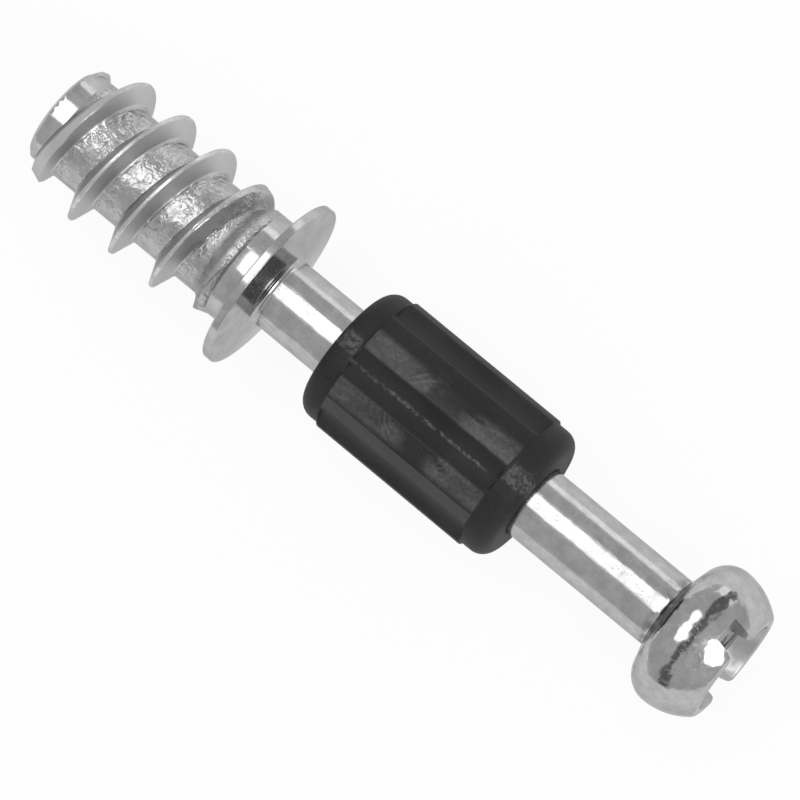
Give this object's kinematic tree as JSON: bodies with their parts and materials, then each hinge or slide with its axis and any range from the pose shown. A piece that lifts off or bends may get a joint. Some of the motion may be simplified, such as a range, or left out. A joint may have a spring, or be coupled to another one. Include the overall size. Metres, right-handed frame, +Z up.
{
  "type": "cam lock bolt",
  "caption": "Furniture connecting bolt that screws into a board by a coarse wood thread and is gripped behind its head by a cam, with a plastic centring sleeve on its shank",
  "frame": {"origin": "on the surface that the bolt lies on, under the middle of its length", "axes": "+Z up; the bolt lies on its side along X, with its head towards +X and its thread towards -X"},
  "size_m": [0.0356, 0.0078, 0.0078],
  "materials": {
    "bolt": "steel with bright zinc plating, slightly pebbled in the thread",
    "sleeve": "black moulded plastic with scuffed lands"
  },
  "bodies": {
    "root": {"bolt": "bolt", "sleeve": "sleeve"}
  },
  "joints": []
}
